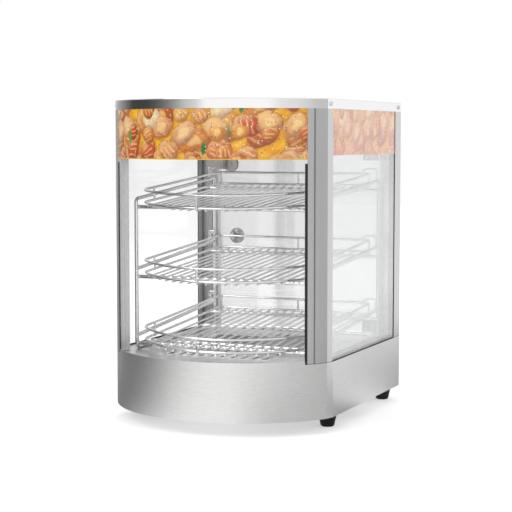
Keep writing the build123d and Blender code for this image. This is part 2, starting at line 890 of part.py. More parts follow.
with BuildPart() as lamp_holders:
    for side in (-1, 1):
        near = side * (lamp_half - holder_grip)
        far = side * (lamp_half - holder_grip + holder)
        block(
            (min(near, far), lamp_y - holder_half, lamp_z - holder_half),
            (max(near, far), lamp_y + holder_half, cap_bottom),
        )
    with BuildSketch(Plane.YZ.offset(-lamp_half)):
        with Locations((lamp_y, lamp_z)):
            Circle(lamp_radius + 0.1)
    extrude(amount=2 * lamp_half, mode=Mode.SUBTRACT)
write(lamp_holders, "lamp_holders")

# Door: one pane on two pivot clamps, with a through-bolted knob and the magnet's plate.
door_front = back_y - door_setback - door_glass_thickness
door_back = back_y - door_setback
door_left = -rear_post_inner + door_gap_latch
door_right = rear_post_inner - door_gap_hinge
pivot_x = rear_post_inner - pivot_inset
pivot_line_y = (door_front + door_back) / 2
door_middle_z = (door_bottom + door_top) / 2
clamp_left = 121.0
clamp_right = clamp_left + clamp_width
clamp_slot_end = clamp_right - clamp_core
lower_clamp = (door_bottom - 1, door_bottom - 1 + clamp_height)
upper_clamp = (door_top + 1 - clamp_height, door_top + 1)
clamp_screw_x = 128.0
clamp_screw_radius = 1.9
clamp_holes = [(clamp_screw_x, z) for low, high in (lower_clamp, upper_clamp)
               for z in (low + 6, high - 6)]
door_knob_x = -127.6
bolt_radius = 2.5
striker_x = -131.0
striker_z = 400.0
door_plane = Plane(origin=(0, door_front, 0), x_dir=(1, 0, 0), z_dir=(0, -1, 0))
with BuildPart() as door_glass:
    block((door_left, door_front, door_bottom), (door_right, door_back, door_top))
    for low, high in (lower_clamp, upper_clamp):
        block(
            (clamp_slot_end - 0.3, door_front - 1, low - 0.3),
            (door_right + 1, door_back + 1, high + 0.3),
            mode=Mode.SUBTRACT,
        )
    with BuildSketch(door_plane):
        with Locations((door_knob_x, door_middle_z), (striker_x, striker_z), *clamp_holes):
            Circle(bolt_radius + 0.4)
    extrude(amount=-door_glass_thickness, mode=Mode.SUBTRACT)
write(door_glass, "door_glass")

with BuildPart() as door_hinge_clamps:
    for low, high, glass_low, glass_high, bore_z, bore in (
        (*lower_clamp, door_bottom, lower_clamp[1] + 1, lower_clamp[0], 12.0),
        (*upper_clamp, upper_clamp[0] - 1, door_top, upper_clamp[1], -12.0),
    ):
        block(
            (clamp_left, door_front - clamp_wall, low), (clamp_right, door_back + clamp_wall, high)
        )
        block(
            (clamp_left - 1, door_front, glass_low),
            (clamp_slot_end, door_back, glass_high),
            mode=Mode.SUBTRACT,
        )
        with BuildSketch(Plane.XY.offset(bore_z)):
            with Locations((pivot_x, pivot_line_y)):
                Circle(hinge_pin / 2 + pin_clearance)
        extrude(amount=bore, mode=Mode.SUBTRACT)
    with BuildSketch(door_plane.offset(clamp_wall)):
        with Locations(*clamp_holes):
            Circle(clamp_screw_radius + 0.1)
    extrude(amount=-(door_glass_thickness + clamp_wall + 2), mode=Mode.SUBTRACT)
write(door_hinge_clamps, "door_hinge_clamps")

clamp_head_radius = 3.4
clamp_head = 1.6
with BuildPart() as clamp_screws:
    for x, z in clamp_holes:
        seat = door_front - clamp_wall
        with BuildSketch(Plane(origin=(x, seat, z), z_dir=(0, -1, 0))):
            Circle(clamp_head_radius)
        extrude(amount=clamp_head)
        rod((x, seat, z), (x, door_back + 1.5, z), 2 * clamp_screw_radius)
write(clamp_screws, "clamp_screws")

# Hinge brackets on the right post, and the pins that the clamps turn on.
bracket_foot = 3.0
bracket_left = 139.0
bracket_right = 166.0
bracket_tongue_right = 151.0
bracket_leg = 22.0
bracket_low = lower_clamp[0] - 1
bracket_high = upper_clamp[1] + 1
bracket_sides = (
    (bracket_low - bracket_foot, bracket_low, bracket_low + bracket_leg, bracket_low),
    (bracket_high, bracket_high + bracket_foot, bracket_high, bracket_high - bracket_leg),
)
bracket_front = rear_post_front - bracket_foot
with BuildPart() as hinge_brackets:
    for tongue_low, tongue_high, leg_high, leg_low in bracket_sides:
        block(
            (bracket_left, bracket_front, tongue_low), (bracket_right, rear_post_front, tongue_high)
        )
        block(
            (bracket_left, bracket_front, tongue_low),
            (bracket_tongue_right, door_back + clamp_wall, tongue_high),
        )
        block(
            (rear_post_inner + 1, bracket_front, leg_low), (bracket_right, rear_post_front, leg_high)
        )
        with BuildSketch(Plane.XY.offset(tongue_low)):
            with Locations((pivot_x, pivot_line_y)):
                Circle(hinge_pin / 2 + pin_clearance)
        extrude(amount=bracket_foot, mode=Mode.SUBTRACT)
    with Locations(*[(bracket_screw_x, rear_post_front, z) for z in bracket_screw_z]):
        Cylinder(bracket_hole_radius, 4 * bracket_foot, rotation=(90, 0, 0), mode=Mode.SUBTRACT)
write(hinge_brackets, "hinge_brackets")

pin_collar = 0.8
pin_collar_radius = 4.4
pin_reach = 12.0
with BuildPart() as hinge_pins:
    for seat, way in ((bracket_low, 1), (bracket_high, -1)):
        with BuildSketch(Plane.XY.offset(seat)):
            with Locations((pivot_x, pivot_line_y)):
                Circle(pin_collar_radius)
        extrude(amount=way * pin_collar)
        rod(
            (pivot_x, pivot_line_y, seat - way * bracket_foot),
            (pivot_x, pivot_line_y, seat + way * pin_reach),
            hinge_pin,
        )
write(hinge_pins, "hinge_pins")

bracket_head_radius = 3.2
bracket_head = 1.9
with BuildPart() as bracket_screws:
    for z in bracket_screw_z:
        with BuildSketch(Plane(origin=(bracket_screw_x, bracket_front, z), z_dir=(0, -1, 0))):
            Circle(bracket_head_radius)
        extrude(amount=bracket_head)
        rod(
            (bracket_screw_x, bracket_front, z),
            (bracket_screw_x, rear_post_front + 4, z),
            2 * bracket_screw_radius,
        )
write(bracket_screws, "bracket_screws")

# Door knob outside the glass, and the bolt with its washer inside.
knob_neck_radius = 6.5
knob_foot_radius = 8.0
knob_radius = 14.0
knob_head = 9.0
knob_slope = 3.0
knob_dome = 3.2
knob_dome_radius = 12.6
knob_bore = 11.0
knob_end = back_y + knob_reach
with BuildPart() as door_knob:
    with BuildSketch(Plane.XY.offset(door_middle_z)):
        with BuildLine():
            Polyline(
                (door_knob_x, door_back),
                (door_knob_x + knob_foot_radius, door_back),
                (door_knob_x + knob_neck_radius, door_back + 2.5),
                (door_knob_x + knob_neck_radius, knob_end - knob_head - knob_slope),
                (door_knob_x + knob_radius - 1.0, knob_end - knob_head),
                (door_knob_x + knob_radius, knob_end - knob_head + 1.0),
                (door_knob_x + knob_radius, knob_end - knob_dome - 1.4),
                (door_knob_x + knob_dome_radius, knob_end - knob_dome),
            )
            TangentArc(
                (door_knob_x, knob_end),
                (door_knob_x + knob_dome_radius, knob_end - knob_dome),
                tangent=(1, 0),
            )
            Line((door_knob_x, knob_end), (door_knob_x, door_back))
        make_face()
    revolve(axis=Axis((door_knob_x, 0, door_middle_z), (0, 1, 0)))
    with BuildSketch(Plane(origin=(door_knob_x, door_back, door_middle_z), z_dir=(0, 1, 0))):
        Circle(bolt_radius + pin_clearance)
    extrude(amount=knob_bore, mode=Mode.SUBTRACT)
write(door_knob, "door_knob")

washer = 1.0
washer_radius = 6.0
bolt_head = 2.4
bolt_head_radius = 4.2
with BuildPart() as door_knob_bolt:
    with BuildSketch(Plane(origin=(door_knob_x, door_front, door_middle_z), z_dir=(0, -1, 0))):
        Circle(washer_radius)
    extrude(amount=washer)
    with BuildSketch(Plane(origin=(door_knob_x, door_front - washer, door_middle_z), z_dir=(0, -1, 0))):
        Circle(bolt_head_radius)
    extrude(amount=bolt_head)
    fillet(door_knob_bolt.faces().sort_by(Axis.Y)[0].edges(), 1.2)
    rod(
        (door_knob_x, door_front, door_middle_z),
        (door_knob_x, door_back + knob_bore - 1, door_middle_z),
        2 * bolt_radius,
    )
write(door_knob_bolt, "door_knob_bolt")

# Magnetic catch: the block on the left post and the steel disc bolted to the door.
striker_radius = 13.2
striker_disc = 2.9
striker_backing = 1.4
striker_bolt_head = 2.2
striker_bolt_radius = 4.0
with BuildPart() as catch_striker:
    for face, way, thick in ((door_front, -1, striker_disc), (door_back, 1, striker_backing)):
        with BuildSketch(Plane(origin=(striker_x, face, striker_z), z_dir=(0, way, 0))):
            Circle(striker_radius)
        extrude(amount=thick)
    with BuildSketch(Plane(origin=(striker_x, door_front - striker_disc, striker_z), z_dir=(0, -1, 0))):
        Circle(striker_bolt_radius)
    extrude(amount=striker_bolt_head)
    rod((striker_x, door_front, striker_z), (striker_x, door_back, striker_z), 2 * bolt_radius)
write(catch_striker, "catch_striker")

catch_x = 15.0
catch_half_z = 9.0
catch_reach = 8.0
catch_gap = 0.2
with BuildPart() as catch_magnet:
    block(
        (-rear_post_inner, rear_post_front - catch_reach, striker_z - catch_half_z),
        (-rear_post_inner + catch_x, door_front - striker_disc - catch_gap, striker_z + catch_half_z),
    )
    fillet(catch_magnet.edges().filter_by(Axis.Y), 1.5)
write(catch_magnet, "catch_magnet")

# Wire rack: two side loops with their rails, and the cross bars welded inside them.
rack_foot_z = base_top + rack_rod / 2
foot_bar_inset = 40.0
for side, name in ((-1, "rack_left_frame"), (1, "rack_right_frame")):
    x = side * rack_x
    side_plane = Plane(origin=(x, 0, 0), x_dir=(0, 1, 0), z_dir=(1, 0, 0))
    with BuildPart() as rack_side:
        with BuildSketch(side_plane, mode=Mode.PRIVATE) as loop:
            Polygon(
                (rack_front_y, rack_foot_z),
                (rack_back_y, rack_foot_z),
                (rack_back_y, rail_front[2] + rail_rise),
                (rack_front_y, rail_front[2]),
                align=None,
            )
            fillet(loop.vertices().group_by(Axis.Z)[0], rack_foot_bend)
            fillet(loop.vertices().filter_by_position(Axis.Z, rail_front[2] - 1, cap_top), rack_bend)
        loop_path = loop.sketch.faces()[0].outer_wire()
        with BuildSketch(Plane(origin=loop_path @ 0, z_dir=loop_path % 0)):
            Circle(rack_rod / 2)
        sweep(path=loop_path)
        for rail_z in rail_front[:2]:
            rod((x, rack_front_y, rail_z), (x, rack_back_y, rail_z + rail_rise), rack_rod)
    write(rack_side, name)

bar_front_y = rack_front_y + rack_rod - weld
bar_back_y = rack_back_y - rack_rod + weld
bar_end = rack_x + rack_rod / 2
with BuildPart() as rack_cross_bars:
    for rail_z in rail_front:
        rod(
            (-bar_end, bar_front_y, rail_z - front_bar_drop),
            (bar_end, bar_front_y, rail_z - front_bar_drop),
            rack_rod,
        )
        bar_z = rail_z + rail_rise - rear_bar_drop
        rod((-bar_end, bar_back_y, bar_z), (bar_end, bar_back_y, bar_z), rack_rod)
    foot_bar_z = rack_foot_z + rack_rod - weld
    for bar_y in (rack_front_y + foot_bar_inset, rack_back_y - foot_bar_inset):
        rod((-bar_end, bar_y, foot_bar_z), (bar_end, bar_y, foot_bar_z), rack_rod)
write(rack_cross_bars, "rack_cross_bars")

# Basket shelf, drawn flat with its front bar at the origin: a grid of rods welded under
# a bottom rim, and a guard rim on stubs with two ears that hang over the side rails.
shelf_radius = (shelf_half_width ** 2 + shelf_bulge ** 2) / (2 * shelf_bulge)
shelf_front = shelf_tip - shelf_bulge
shelf_centre = shelf_front + shelf_radius
rim_z = (rim_rod + grid_rod) / 2 - weld
guard_z = rim_z + guard_height
stub_out = (rim_rod + grid_rod) / 2 - 0.2
ear_top = guard_z + 9.5
ear_x = 157.0
ear_root_y = 244.0
ear_y = shelf_back - 13.0
ear_low = 15.8
hook_low = -8.0
hook_turn = 60.0
stub_low = 1.8
stub_front_x = -grid_pitch
stub_rear_x = grid_pitch / 2
stub_side_y = 27.0


def rim_path():
    """Closed outline of a rim: straight sides and back, bowed front, round corners."""
    with BuildSketch(mode=Mode.PRIVATE) as outline:
        with BuildLine():
            Polyline(
                (-shelf_half_width, shelf_tip),
                (-shelf_half_width, shelf_back),
                (shelf_half_width, shelf_back),
                (shelf_half_width, shelf_tip),
            )
            ThreePointArc(
                (shelf_half_width, shelf_tip), (0, shelf_front), (-shelf_half_width, shelf_tip)
            )
        make_face()
        fillet(outline.vertices().group_by(Axis.Y)[0], shelf_front_corner)
        fillet(outline.vertices().group_by(Axis.Y)[-1], shelf_corner)
    return outline.sketch.faces()[0].outer_wire()


def rim(z):
    """Bent wire rim at a height over the grid."""
    path = rim_path().moved(Location((0, 0, z)))
    with BuildSketch(Plane(origin=path @ 0, z_dir=path % 0)) as section:
        Circle(rim_rod / 2)
    sweep(section.sketch, path=path)


with BuildPart() as flat_grid:
    rim(rim_z)
    for count in range(-grid_half_count, grid_half_count + 1):
        x = count * grid_pitch
        start_y = shelf_centre - sqrt(shelf_radius ** 2 - x ** 2) - rim_rod / 2 - 1.5
        rod((x, start_y, 0), (x, shelf_back + rim_rod / 2, 0), grid_rod)

with BuildPart() as flat_guard:
    rim(guard_z)
    reach = shelf_radius + stub_out
    stub_front_y = shelf_centre - sqrt(reach ** 2 - stub_front_x ** 2)
    stub_rear_y = shelf_back + stub_out
    for x, y in ((stub_front_x, stub_front_y), (stub_rear_x, stub_rear_y)):
        rod((x, y, stub_low), (x, y, guard_z), grid_rod)
    for side in (-1, 1):
        side_x_out = side * (shelf_half_width - stub_out)
        rod((side_x_out, stub_side_y, stub_low), (side_x_out, stub_side_y, guard_z), grid_rod)
        hook_out = shelf_corner + stub_out
        hook_x = side * (shelf_half_width - shelf_corner + hook_out * cos(radians(hook_turn)))
        hook_y = shelf_back - shelf_corner + hook_out * sin(radians(hook_turn))
        rod((hook_x, hook_y, hook_low), (hook_x, hook_y, guard_z), grid_rod)
        with BuildLine() as ear:
            FilletPolyline(
                (side * shelf_half_width, ear_root_y, guard_z),
                (side * shelf_half_width, ear_root_y, ear_top),
                (side * shelf_half_width, ear_y, ear_top),
                (side * ear_x, ear_y, ear_top),
                (side * ear_x, ear_y, ear_low),
                radius=4,
            )
        with BuildSketch(Plane(origin=ear.line @ 0, z_dir=ear.line % 0)):
            Circle(grid_rod / 2)
        sweep(path=ear.line)

# The three shelves stand tilted on the rack's front and rear bars.
bar_run = bar_back_y - bar_front_y
bar_rise = rail_rise + front_bar_drop - rear_bar_drop
seat_offset = rack_rod / 2 + grid_rod / 2 + rest_gap
for rail_z, name in zip(rail_front, ("lower", "middle", "upper")):
    slope = Vector(0, bar_run, bar_rise).normalized()
    lift = Vector(0, -slope.Z, slope.Y)
    seat = Vector(0, bar_front_y, rail_z - front_bar_drop) + lift * seat_offset
    shelf_plane = Plane(origin=seat, x_dir=(1, 0, 0), z_dir=lift)
    with BuildPart() as shelf_grid:
        add(flat_grid.part.moved(shelf_plane.location))
    write(shelf_grid, f"shelf_{name}_grid")
    with BuildPart() as shelf_guard:
        add(flat_guard.part.moved(shelf_plane.location))
    write(shelf_guard, f"shelf_{name}_guard")
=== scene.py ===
from math import atan2, degrees, pi, radians

import bpy
from mathutils import Matrix, Vector


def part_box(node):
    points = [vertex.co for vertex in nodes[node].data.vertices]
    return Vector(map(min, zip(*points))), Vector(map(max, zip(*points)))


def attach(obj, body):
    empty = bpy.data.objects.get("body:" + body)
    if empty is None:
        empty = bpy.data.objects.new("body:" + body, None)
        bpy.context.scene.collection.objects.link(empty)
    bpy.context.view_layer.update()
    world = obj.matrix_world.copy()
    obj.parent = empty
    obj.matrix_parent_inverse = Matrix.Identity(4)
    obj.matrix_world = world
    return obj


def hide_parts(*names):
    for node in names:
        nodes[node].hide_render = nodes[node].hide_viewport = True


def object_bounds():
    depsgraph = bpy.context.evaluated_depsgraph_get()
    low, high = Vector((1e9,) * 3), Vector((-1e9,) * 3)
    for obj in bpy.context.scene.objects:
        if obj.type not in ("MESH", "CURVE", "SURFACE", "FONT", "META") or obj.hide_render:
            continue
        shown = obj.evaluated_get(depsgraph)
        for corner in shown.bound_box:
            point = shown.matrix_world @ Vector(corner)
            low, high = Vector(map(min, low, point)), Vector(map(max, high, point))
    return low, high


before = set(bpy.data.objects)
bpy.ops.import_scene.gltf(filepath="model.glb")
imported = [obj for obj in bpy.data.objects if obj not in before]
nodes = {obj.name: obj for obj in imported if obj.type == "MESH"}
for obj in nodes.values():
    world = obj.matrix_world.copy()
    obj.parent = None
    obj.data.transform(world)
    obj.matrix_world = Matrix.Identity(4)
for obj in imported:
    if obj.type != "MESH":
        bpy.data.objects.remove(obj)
cad_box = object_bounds()
bpy.ops.object.select_all(action="DESELECT")

# Camera. It stands a little to the right of the case, just under the height of its cap,
# and looks slightly down.
looks_down = radians(4.673)
looks_left = radians(23.878)
bpy.ops.object.camera_add(location=(0.9702, -2.1732, 0.4490))
camera = bpy.context.object
camera.name = "camera"
camera.rotation_euler = (pi / 2 - looks_down, 0, looks_left)
camera.data.sensor_width = 36.0
camera.data.lens = 102.87
camera.data.clip_end = 30.0
bpy.context.scene.camera = camera
bpy.context.scene.view_settings.view_transform = "Standard"


# Studio. A white room, as a photographer lights steel: what stands round it is darker at
# the left front and at the right, and only metal and glass show that. The floor is white
# and keeps the case's soft shadow.
class Wire:
    """A socket of a shader. A sum that is written with it adds its Math nodes."""

    def __init__(self, tree, socket=None):
        self.tree = tree
        self.socket = socket

    def node(self, kind, settings=None, values=None, output=0):
        """Add a node, set it up, and give its sockets their values or links."""
        made = self.tree.nodes.new("ShaderNode" + kind)
        for name, value in (settings or {}).items():
            if name == "stops":
                ramp = made.color_ramp
                while len(ramp.elements) < len(value):
                    ramp.elements.new(0.5)
                for element, (place, colour) in zip(ramp.elements, value):
                    element.position = place
                    element.color = (*colour, 1)
            else:
                setattr(made, name, value)
        for name, value in (values or {}).items():
            if isinstance(value, Wire):
                self.tree.links.new(value.socket, made.inputs[name])
            else:
                made.inputs[name].default_value = value
        return Wire(self.tree, made.outputs[output] if len(made.outputs) else None)

    def other(self, output):
        """Another output of the same node."""
        return Wire(self.tree, self.socket.node.outputs[output])

    def maths(self, operation, first, second=0.0):
        """A Math node of one or two values."""
        return self.node("Math", {"operation": operation}, {0: first, 1: second})

    def mix(self, factor, first, second):
        """Blend of two colours."""
        values = {0: factor, 6: first, 7: second}
        return self.node("Mix", {"data_type": "RGBA"}, values, output=2)

    def step(self, low, high):
        """0 under low, 1 over high, smooth between."""
        settings = {"interpolation_type": "SMOOTHSTEP"}
        return self.node("MapRange", settings, {0: self, 1: low, 2: high})

    def __add__(self, other):
        return self.maths("ADD", self, other)

    def __radd__(self, other):
        return self.maths("ADD", other, self)

    def __sub__(self, other):
        return self.maths("SUBTRACT", self, other)

    def __rsub__(self, other):
        return self.maths("SUBTRACT", other, self)

    def __mul__(self, other):
        return self.maths("MULTIPLY", self, other)

    def __rmul__(self, other):
        return self.maths("MULTIPLY", other, self)

    def __truediv__(self, other):
        return self.maths("DIVIDE", self, other)

    def __pow__(self, other):
        return self.maths("POWER", self, other)


def grey(level):
    """A neutral colour."""
    return (level, level, level, 1)


def round_about(start, x, y, levels):
    """Grey of the room in the direction of x and y; levels are by degrees from the front."""
    turn = start.maths("ARCTAN2", x, y * -1.0) / (2 * pi) + 0.5
    stops = [((angle + 180) / 360, grey(level)[:3]) for angle, level in levels]
    return start.node("ValToRGB", {"stops": stops}, {0: turn})


walls = (
    (-180, 0.90), (-150, 0.80), (-128, 0.42), (-106, 0.20), (-92, 0.05), (-70, 0.05),
    (-56, 0.11), (-46, 0.21), (-38, 0.34), (-30, 0.54), (-20, 0.66), (-11, 1.00),
    (42, 1.00), (54, 0.80), (70, 0.74), (88, 0.56), (98, 0.56), (108, 0.82),
    (116, 1.00), (140, 0.98), (180, 0.94),
)
world = bpy.data.worlds.new("studio")
world.use_nodes = True
bpy.context.scene.world = world
world.node_tree.nodes.clear()
start = Wire(world.node_tree)
out = start.node("SeparateXYZ", None, {0: start.node("TexCoord")})
around = round_about(start, out, out.other("Y"), walls)
above = out.other("Z")
shown = start.mix(above.step(0.07, 0.26), around, grey(0.80))
overhead = start.mix(out.step(-0.9, 0.9), grey(0.58), grey(0.94))
shown = start.mix(above.step(0.40, 0.75), shown, overhead)
ray = start.node("LightPath")
through = ray.maths("MAXIMUM", ray.other("Is Camera Ray"), ray.other("Is Transmission Ray"))
room = start.mix(through, start.mix(ray.other("Is Glossy Ray"), grey(0.60), shown), grey(1.0))
background = start.node("Background", None, {"Color": room, "Strength": 1.0})
start.node("OutputWorld", None, {"Surface": background})

ground = (
    (-180, 0.85), (-140, 0.50), (-113, 0.31), (-88, 0.17), (-63, 0.19), (-46, 0.40),
    (-32, 0.70), (-19, 1.00), (15, 1.00), (24, 0.74), (38, 0.55), (57, 0.49), (80, 0.44),
    (93, 0.22), (101, 0.05), (109, 0.12), (118, 0.96), (128, 0.90), (142, 0.43),
    (156, 0.30), (180, 0.50),
)
bpy.ops.mesh.primitive_plane_add(size=14, location=(0, 0, 0))
floor = bpy.context.object
floor.name = "floor"
floor_paint = bpy.data.materials.new("floor_paint")
floor_paint.use_nodes = True
floor_paint.node_tree.nodes.clear()
start = Wire(floor_paint.node_tree)
at = start.node("SeparateXYZ", None, {0: start.node("TexCoord", output=3)})
lit = start.node("BsdfDiffuse", None, {"Color": grey(0.80)})
reach = start.maths("SQRT", at * at + at.other("Y") * at.other("Y"))
glow = start.mix(reach.step(0.3, 4.0), grey(0.44), grey(0.60))
glow = start.node("Emission", None, {"Color": glow})
seen = start.node("AddShader", None, {0: lit, 1: glow})
# Steel low on the case mirrors the floor near by, and the glass above it the floor further
# out, which looks like the walls.
behind = at.other("Y").step(0.0, 0.2)
far = (reach - behind * 0.4).step(0.6, 1.0)
far = start.maths("MAXIMUM", far, at.step(0.42, 0.47) * behind)
near_floor = round_about(start, at, at.other("Y"), ground)
far_floor = round_about(start, at, at.other("Y"), walls)
mirrored = start.node("Emission", None, {"Color": start.mix(far, near_floor, far_floor)})
is_glossy = start.node("LightPath").other("Is Glossy Ray")
surface = start.node("MixShader", None, {0: is_glossy, 1: seen, 2: mirrored})
start.node("OutputMaterial", None, {"Surface": surface})
floor.data.materials.append(floor_paint)

aim = Vector((0, 0, 0.3))
for name, place, size, power in (
    ("key_lamp", (-1.6, -2.2, 2.4), 2.0, 36),
    ("right_lamp", (2.6, -0.9, 1.6), 1.6, 17),
    ("back_lamp", (-0.4, 2.4, 2.2), 1.8, 22),
):
    bpy.ops.object.light_add(type="AREA", location=place)
    lamp = bpy.context.object
    lamp.name = name
    lamp.data.size = size
    lamp.data.energy = power
    lamp.rotation_euler = (Vector(place) - aim).to_track_quat("Z", "Y").to_euler()
    lamp.visible_glossy = name == "key_lamp"


# Base. Brushed stainless sheet, wrapped round the front and the sides, with the panel
# that closes its back. The grain of the rolled sheet runs level all the way round.
def steel(name, colour, roughness, grain, along, depth, clouds=0.06, contrast=1.0, run=14.0):
    """Stainless sheet. grain is how fine its hairs are, and run is the same along the axes
    that they follow: the smaller it is, the longer is each hair."""
    material = bpy.data.materials.new(name)
    material.use_nodes = True
    tree = material.node_tree
    skin = tree.nodes["Principled BSDF"]
    start = Wire(tree)
    place = start.node("TexCoord", output=3)
    fine = tuple(run if axis in along else grain for axis in "xyz")
    drawn = start.node("Mapping", None, {0: place, 3: fine})
    hairs = start.node("TexNoise", None, {0: drawn, 2: 1.0, 3: 3.0, 4: 0.65})
    drift = start.node("TexNoise", None, {0: place, 2: 7.0, 3: 3.0})
    shade = (hairs * 0.75 + drift * 0.25).step(0.32, 0.68)
    dark = tuple(part * (1 - 0.12 * contrast) for part in colour) + (1,)
    light = tuple(min(part * (1 + 0.08 * contrast), 1) for part in colour) + (1,)
    tree.links.new(start.mix(shade, dark, light).socket, skin.inputs["Base Color"])
    rough = roughness + (hairs - 0.5) * (0.2 * contrast) + (drift - 0.5) * clouds
    tree.links.new(rough.socket, skin.inputs["Roughness"])
    skin.inputs["Metallic"].default_value = 1.0
    bump = start.node("Bump", None, {"Strength": depth, "Distance": 0.0002, "Height": hairs})
    tree.links.new(bump.socket, skin.inputs["Normal"])
    return material


def wear(material, *names):
    """Give a finish to CAD nodes whose shape is already right."""
    for name in names:
        nodes[name].data.materials.clear()
        nodes[name].data.materials.append(material)


brushed = steel("brushed_steel", (0.84, 0.84, 0.835), 0.38, 2600.0, "xy", 0.35, contrast=0.8,
                run=90.0)
wear(brushed, "base_wrap", "control_panel")
mill = steel("mill_steel", (0.55, 0.55, 0.55), 0.5, 900.0, "x", 0.2)
wear(mill, "base_bottom_plate", "heat_shield", "heater_rests")

# Posts, beads, header and deck. Satin stainless sheet, folded. The grain is upright on the
# posts and level on the plates between them, and the beads lie over the edges of the panes.
# The posts carry painted shade, and the beads' inner faces are painted white as painted light.
bow_centre = (0.0, -0.01933, 0.0)
seam_turn = radians(53.2)
post_foot = 0.1079
upright = steel("satin_steel_upright", (0.66, 0.66, 0.66), 0.27, 2200.0, "z", 0.05,
                contrast=0.25)
tree = upright.node_tree
skin = tree.nodes["Principled BSDF"]
start = Wire(tree)
place = start.node("TexCoord", output=3)
ahead = start.node("VectorMath", {"operation": "SUBTRACT"}, {0: place, 1: bow_centre})
apart = start.node("SeparateXYZ", None, {0: ahead})
turn = start.maths("ARCTAN2", start.maths("ABSOLUTE", apart), apart.other("Y") * -1.0)
# Painted shade: a thin near-black line down each front post at its seam with the bead, and
# another along the foot of each post where it meets the base, for the shadow in these gaps.
seam = 1.0 - start.maths("ABSOLUTE", turn - seam_turn).step(radians(0.09), radians(0.30))
foot = 1.0 - apart.other("Z").step(post_foot, post_foot + 0.0011)
# Painted shade: the rear posts' faces that look to the front are painted flat grey, darker on the
# left post than on the right, for how the light falls on them.
normal = start.node("TexCoord", output=1)
inner = (start.node("SeparateXYZ", None, {0: normal}).other("Y") * -1.0).step(0.6, 0.9)
inner = inner * apart.other("Y").step(0.19, 0.20)
painted_inner_shade = start.mix(apart.step(-0.1, 0.1), grey(0.50), grey(0.82))
painted_shade_lines = start.maths("MAXIMUM", seam * 0.85, foot * 0.7)
colour = Wire(tree, skin.inputs["Base Color"].links[0].from_socket)
colour = start.mix(painted_shade_lines, start.mix(inner, colour, painted_inner_shade), grey(0.05))
tree.links.new(colour.socket, skin.inputs["Base Color"])
wear(upright, "front_left_post", "front_right_post", "rear_left_post", "rear_right_post")

bead_painted_light = upright.copy()
bead_painted_light.name = "bead_steel_painted_light"
tree = bead_painted_light.node_tree
skin = tree.nodes["Principled BSDF"]
start = Wire(tree)
# Painted light: the bead faces that look into the case are painted white and not metallic, so the
# strip beside each pane's edge shows bright.
inward = start.node("VectorMath", {"operation": "SUBTRACT"},
                    {0: bow_centre, 1: start.node("TexCoord", output=3)})
painted_light_faces = start.node("VectorMath", {"operation": "DOT_PRODUCT"},
                  {0: start.node("TexCoord", output=1), 1: inward}, output=1).step(0.03, 0.06)
colour = Wire(tree, skin.inputs["Base Color"].links[0].from_socket)
tree.links.new(start.mix(painted_light_faces, colour, grey(0.88)).socket, skin.inputs["Base Color"])
tree.links.new((1.0 - painted_light_faces).socket, skin.inputs["Metallic"])
bare = nodes["glass_beads"]
beads = bare.copy()
beads.data = bare.data.copy()
beads.name = "beads_painted_light"
bpy.context.scene.collection.objects.link(beads)
beads.select_set(True)
bpy.context.view_layer.objects.active = beads
bpy.ops.object.mode_set(mode="EDIT")
bpy.ops.mesh.select_all(action="SELECT")
bpy.ops.mesh.remove_doubles(threshold=0.000001)
bpy.ops.object.mode_set(mode="OBJECT")
bead_lift = 0.0001
side_pane_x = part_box("right_glass")[1].x
glass_radius = 0.20817
rear_bead_y = 0.1
on_glass = 0.00002
for vertex in beads.data.vertices:
    outward = vertex.co - Vector(bow_centre)
    outward.z = 0
    if vertex.co.y > rear_bead_y and abs(vertex.co.x) < side_pane_x + on_glass:
        vertex.co.x *= 1 + bead_lift / side_pane_x
    if vertex.co.y < rear_bead_y and outward.length < glass_radius + on_glass:
        vertex.co += outward.normalized() * bead_lift
beads.data.materials.clear()
beads.data.materials.append(bead_painted_light)
beads.select_set(False)
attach(beads, "case")
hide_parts("glass_beads")
level = steel("satin_steel_level", (0.80, 0.80, 0.80), 0.28, 2200.0, "x", 0.1, contrast=0.5)
wear(level, "deck_plate", "ceiling_pan", "rear_header", "water_tray")


# Feet and gaskets. Moulded black rubber: the feet are screwed up through the bottom
# plate, and the gaskets lie beside the beads and under the side panes.
def moulded(name, colour, roughness, size, depth, coat=0.0):
    """A cast or moulded piece, with a fine skin and a little cloudiness."""
    material = bpy.data.materials.new(name)
    material.use_nodes = True
    tree = material.node_tree
    skin = tree.nodes["Principled BSDF"]
    start = Wire(tree)
    place = start.node("TexCoord", output=3)
    pores = start.node("TexNoise", None, {0: place, 2: size, 3: 4.0})
    clouds = start.node("TexNoise", None, {0: place, 2: 40.0, 3: 3.0})
    dark = tuple(part * 0.82 for part in colour) + (1,)
    light = tuple(min(part * 1.15, 1) for part in colour) + (1,)
    tree.links.new(start.mix(clouds, dark, light).socket, skin.inputs["Base Color"])
    rough = roughness + (pores - 0.5) * 0.2 + (clouds - 0.5) * 0.1
    tree.links.new(rough.socket, skin.inputs["Roughness"])
    skin.inputs["Coat Weight"].default_value = coat
    bump = start.node("Bump", None, {"Strength": depth, "Distance": 0.0002, "Height": pores})
    tree.links.new(bump.socket, skin.inputs["Normal"])
    return material


rubber = moulded("foot_rubber", (0.005, 0.005, 0.005), 0.42, 900.0, 0.4)
rubber.node_tree.nodes["Principled BSDF"].inputs["Specular IOR Level"].default_value = 0.25
wear(rubber, "foot_front_left", "foot_front_right", "foot_rear_left", "foot_rear_right")
wear(moulded("gasket_rubber", (0.010, 0.010, 0.010), 0.5, 900.0, 0.3), "glass_gaskets")


